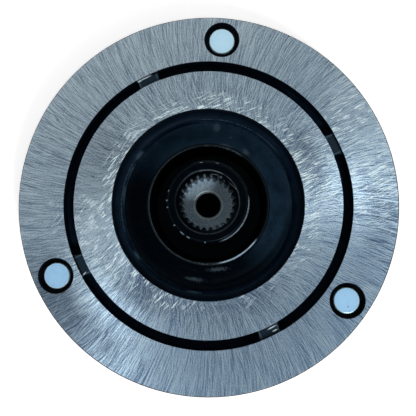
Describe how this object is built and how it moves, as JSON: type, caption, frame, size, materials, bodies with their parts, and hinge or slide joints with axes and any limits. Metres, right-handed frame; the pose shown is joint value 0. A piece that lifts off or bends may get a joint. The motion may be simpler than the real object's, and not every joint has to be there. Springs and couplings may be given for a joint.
{
  "type": "air-conditioning compressor clutch hub and armature plate",
  "caption": "Clutch driven plate: a ground steel armature ring with slots, riveted to a collared plate that a rubber ring carries on a splined shaft boss.",
  "frame": {"origin": "on the shaft axis, at the front face of the hub's nose, which the part lies on", "axes": "+Z along the shaft towards the compressor, out of the friction face; +X to the right and +Y up in the picture"},
  "size_m": [0.104, 0.104, 0.0235],
  "materials": {
    "ground_steel": "ground and cross-scratched, bluish grey",
    "black_coated_plate": "black electrocoat, satin",
    "plated_rivet": "pale zinc plate, satin",
    "damper_rubber": "moulded, slightly glossy black",
    "coated_cup": "black electrocoat, worn bright at the rim",
    "coated_boss": "blue-black electrocoat outside, bare steel in the splined socket"
  },
  "bodies": {
    "hub": {"splined_boss": "coated_boss", "hub_cup": "coated_cup"},
    "damper": {"rubber_ring": "damper_rubber"},
    "armature": {"armature_plate": "ground_steel", "drive_plate": "black_coated_plate", "rivet_1": "plated_rivet", "rivet_2": "plated_rivet", "rivet_3": "plated_rivet"}
  },
  "joints": [
    {"name": "rubber_wind_up", "type": "hinge", "parent": "hub", "child": "damper", "pos_m": [0, 0, 0.0075], "axis": [0, 0, 1], "range_deg": [-4, 4], "stiffness_Nm_per_rad": 0.8},
    {"name": "armature_travel", "type": "slide", "parent": "damper", "child": "armature", "axis": [0, 0, 1], "range_m": [0, 0.0005], "stiffness_N_per_m": 8000}
  ]
}
